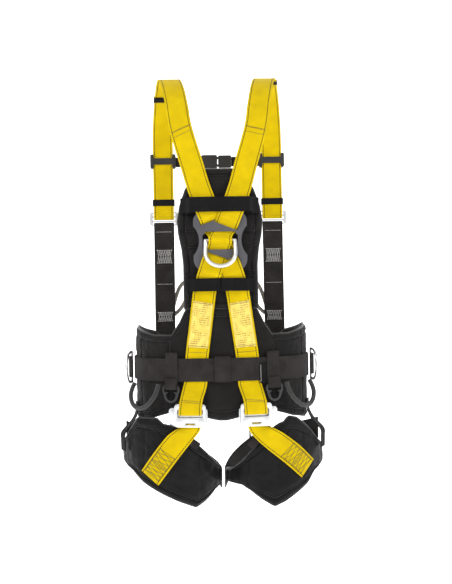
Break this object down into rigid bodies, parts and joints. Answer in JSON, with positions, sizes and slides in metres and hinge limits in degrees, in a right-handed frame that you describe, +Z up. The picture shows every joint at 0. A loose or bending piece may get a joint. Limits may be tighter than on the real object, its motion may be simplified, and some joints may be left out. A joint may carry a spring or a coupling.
{
  "type": "safety harness",
  "caption": "Full-body work harness with yellow crossed shoulder straps, dorsal plate and ring, padded back, waist belt and padded leg loops.",
  "frame": {"origin": "centre of the waist belt ring, at the height of the belt's middle", "axes": "+Z up, +X the wearer's right, +Y the wearer's front, as it is worn"},
  "size_m": [0.4132, 0.3069, 0.8642],
  "materials": {
    "yellow_webbing": "woven polyester, matt",
    "padding": "quilted padding cloth, matt",
    "black_webbing": "ribbed polyester webbing",
    "elastic": "woven elastic",
    "label": "sewn cloth tag",
    "sleeved_cord": "braided sleeve over cord",
    "plate_plastic": "moulded, fine grain",
    "black_plastic": "moulded",
    "ring_steel": "bright zinc-plated",
    "buckle_steel": "zinc-plated"
  },
  "bodies": {
    "harness": {"back_pad": "padding", "waist_pad": "padding", "upper_keeper_band": "elastic", "lower_keeper_band_left": "elastic", "lower_keeper_band_right": "elastic", "shoulder_strap_left": "yellow_webbing", "shoulder_strap_right": "yellow_webbing", "dorsal_plate": "plate_plastic", "front_adjuster_left": "buckle_steel", "front_adjuster_right": "buckle_steel", "front_webbing_left": "black_webbing", "front_webbing_right": "black_webbing", "sternal_loop_left": "sleeved_cord", "sternal_loop_right": "sleeved_cord", "tail_keepers_left": "elastic", "tail_keepers_right": "elastic", "waist_belt": "black_webbing", "belt_keeper_center": "black_webbing", "waist_buckle_frame": "buckle_steel", "side_ring_loop_left": "black_webbing", "side_ring_loop_right": "black_webbing", "tool_loop_left": "black_webbing", "tool_loop_right": "black_webbing", "gear_loop_left": "sleeved_cord", "gear_loop_right": "sleeved_cord", "label_tag": "label", "leg_frame_left": "buckle_steel", "leg_frame_right": "buckle_steel", "leg_plate_left": "buckle_steel", "leg_plate_right": "buckle_steel", "leg_pad_left": "padding", "leg_pad_right": "padding", "leg_strap_left": "yellow_webbing", "leg_strap_right": "yellow_webbing", "wear_sleeve_left": "elastic", "wear_sleeve_right": "elastic", "thigh_webbing_left": "black_webbing", "thigh_webbing_right": "black_webbing", "thigh_buckle_left": "buckle_steel", "thigh_buckle_right": "buckle_steel", "side_riser_left": "elastic", "side_riser_right": "elastic"},
    "dorsal_ring": {"dorsal_ring": "ring_steel"},
    "side_ring_left": {"side_ring_left": "ring_steel"},
    "side_ring_right": {"side_ring_right": "ring_steel"},
    "tool_ring_left": {"tool_ring_left": "black_plastic"},
    "tool_ring_right": {"tool_ring_right": "black_plastic"},
    "chest_strap_assembly": {"chest_slider_left": "black_plastic", "chest_slider_right": "black_plastic", "chest_strap_left": "black_webbing", "chest_buckle_female": "black_plastic"},
    "chest_strap_end": {"chest_strap_right": "black_webbing", "chest_buckle_male": "black_plastic"},
    "waist_buckle_tongue": {"waist_buckle_tongue": "buckle_steel"}
  },
  "joints": [
    {"name": "dorsal_ring_swing", "type": "hinge", "parent": "harness", "child": "dorsal_ring", "pos_m": [0, -0.1344, 0.25], "axis": [-1, 0, 0], "range_deg": [0, 120]},
    {"name": "side_ring_swing_right", "type": "hinge", "parent": "harness", "child": "side_ring_right", "pos_m": [0.1866, -0.016, 0], "axis": [0, 0, 1], "range_deg": [0, 100]},
    {"name": "side_ring_swing_left", "type": "hinge", "parent": "harness", "child": "side_ring_left", "pos_m": [-0.1866, -0.016, 0], "axis": [0, 0, -1], "range_deg": [0, 100]},
    {"name": "tool_ring_swing_right", "type": "hinge", "parent": "harness", "child": "tool_ring_right", "pos_m": [0.1, -0.12864, -0.031], "axis": [-0.9485, -0.3168, 0], "range_deg": [0, 90]},
    {"name": "tool_ring_swing_left", "type": "hinge", "parent": "harness", "child": "tool_ring_left", "pos_m": [-0.1, -0.12864, -0.031], "axis": [-0.9485, 0.3168, 0], "range_deg": [0, 90]},
    {"name": "chest_strap_height", "type": "slide", "parent": "harness", "child": "chest_strap_assembly", "axis": [0, 0, 1], "range_m": [-0.06, 0.02]},
    {"name": "chest_buckle_release", "type": "slide", "parent": "chest_strap_assembly", "child": "chest_strap_end", "axis": [1, 0, 0], "range_m": [0, 0.03]},
    {"name": "waist_buckle_release", "type": "slide", "parent": "harness", "child": "waist_buckle_tongue", "axis": [1, 0, 0], "range_m": [0, 0.025]}
  ]
}
